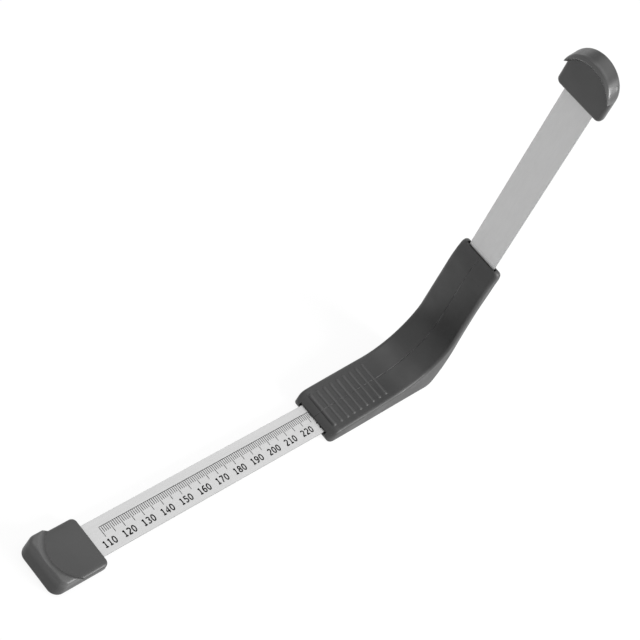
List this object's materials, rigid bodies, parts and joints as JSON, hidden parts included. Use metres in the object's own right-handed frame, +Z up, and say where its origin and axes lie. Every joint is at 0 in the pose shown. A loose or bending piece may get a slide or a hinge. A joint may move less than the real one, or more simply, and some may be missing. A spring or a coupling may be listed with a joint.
{
  "type": "foot measuring gauge",
  "caption": "Foot measuring gauge: L-shaped plastic slider on one flexible millimetre tape with a stop cap on each end; the foot lies between toe stop and heel upright.",
  "frame": {"origin": "on the floor at the middle of the handle's flat underside, 34 mm behind the reading edge", "axes": "+X towards the heel upright, the scale tape runs to -X; +Z up; Y = 0 is the middle of the tape"},
  "size_m": [0.2186, 0.0242, 0.2113],
  "materials": {
    "handle_plastic": "satin moulded dark grey",
    "cap_plastic": "satin moulded dark grey",
    "tape_plastic": "smooth light grey"
  },
  "bodies": {
    "handle": {"handle_near_half": "handle_plastic", "handle_far_half": "handle_plastic", "tape_bend": "tape_plastic"},
    "scale_end": {"scale_strip": "tape_plastic", "toe_cap": "cap_plastic"},
    "tail_end": {"tail_strip": "tape_plastic", "tail_cap": "cap_plastic"}
  },
  "joints": [
    {"name": "scale_slide", "type": "slide", "parent": "handle", "child": "scale_end", "axis": [1, 0, 0], "range_m": [-0.022, 0.028], "deforming": ["tape_bend"]},
    {"name": "tail_slide", "type": "slide", "parent": "handle", "child": "tail_end", "axis": [-0.1564, 0, 0.9877], "range_m": [-0.022, 0.028], "deforming": ["tape_bend"]}
  ],
  "couplings": [
    {"joint": "tail_slide", "follows": "scale_slide", "ratio": 1}
  ]
}
